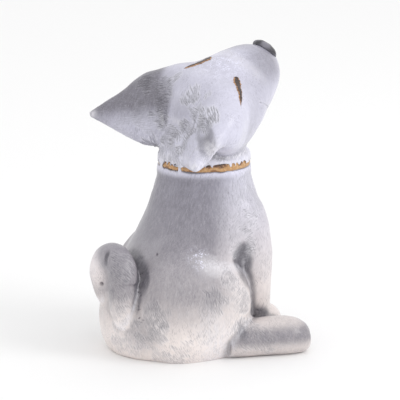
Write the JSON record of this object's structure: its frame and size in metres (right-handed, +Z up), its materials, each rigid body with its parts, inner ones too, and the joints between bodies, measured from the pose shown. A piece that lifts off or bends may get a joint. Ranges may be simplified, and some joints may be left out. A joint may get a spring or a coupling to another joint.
{
  "type": "seated dog figurine",
  "caption": "Hollow ceramic figurine of a seated dog looking up with its eyes shut, with a thin collar, carved fur marks and a flat underside.",
  "frame": {"origin": "on the surface that the figurine sits on, at the middle of the torso's underside, under the neck's centre line to within 2 mm", "axes": "+X is the way the dog faces, +Y its left, +Z up"},
  "size_m": [0.0736, 0.068, 0.1089],
  "materials": {
    "grey_glaze": "satin lavender-grey glaze, thinner over raised fur marks and darker in the grooves",
    "ear_glaze": "satin grey glaze, darkest at the top of the ear",
    "pale_glaze": "satin off-white glaze over warm clay, grey in the grooves",
    "nose_glaze": "charcoal glaze with a soft shine",
    "collar_slip": "matt golden-brown slip with a ragged dark upper edge",
    "eye_slip": "matt dark brown slip with a golden rim"
  },
  "bodies": {
    "root": {"torso": "grey_glaze", "head": "grey_glaze", "left_ear": "ear_glaze", "right_ear": "ear_glaze", "nose": "nose_glaze", "collar": "collar_slip", "tail": "grey_glaze", "left_front_leg": "pale_glaze", "right_front_leg": "pale_glaze", "left_haunch": "pale_glaze", "right_haunch": "pale_glaze", "left_hind_foot": "pale_glaze", "right_hind_foot": "pale_glaze", "left_eye_inlay": "eye_slip", "right_eye_inlay": "eye_slip"}
  },
  "joints": []
}
